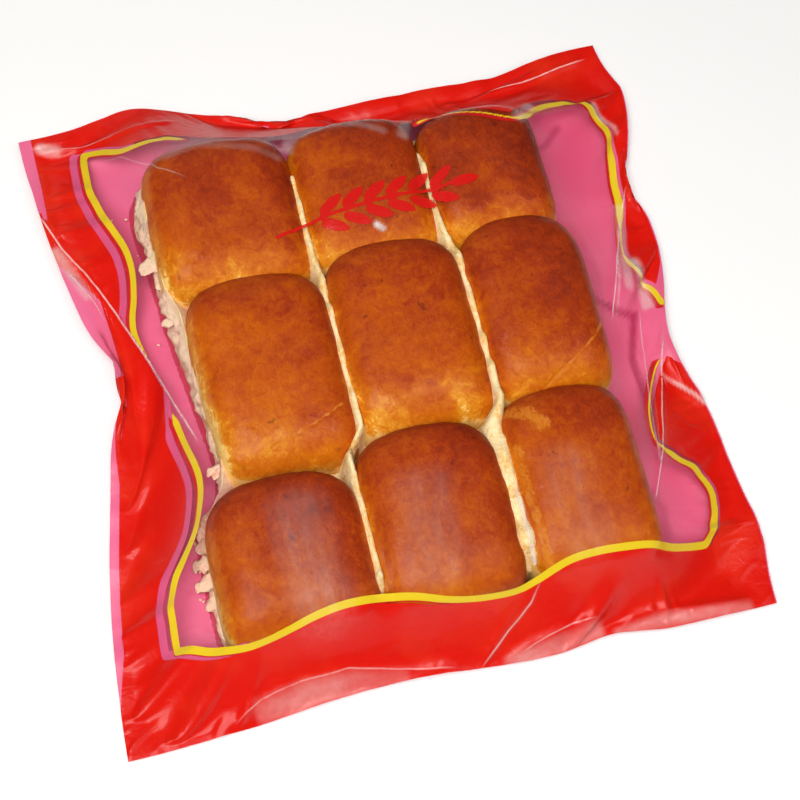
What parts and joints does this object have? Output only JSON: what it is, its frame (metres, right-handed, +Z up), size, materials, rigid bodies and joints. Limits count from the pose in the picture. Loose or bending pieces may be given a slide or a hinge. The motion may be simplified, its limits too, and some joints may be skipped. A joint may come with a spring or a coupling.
{
  "type": "bagged bread rolls",
  "caption": "Flat sealed film bag, lying on its back, that holds a pull-apart block of soft oblong bread rolls under a clear window with a printed border.",
  "frame": {"origin": "on the surface the bag lies on, under the middle of its bounding box", "axes": "+Z up out of the shown printed side, +Y towards the far seal, +X to the right seen from the near seal"},
  "size_m": [0.3408, 0.3506, 0.052],
  "materials": {
    "printed_film": "thin glossy bag film, clear window, red printed border with a yellow line, pink back",
    "crust": "baked soft-roll crust, brown on the crowns and golden at the sides",
    "crumb": "torn pale bread crumb"
  },
  "bodies": {
    "root": {"bag": "printed_film"}
  },
  "joints": []
}
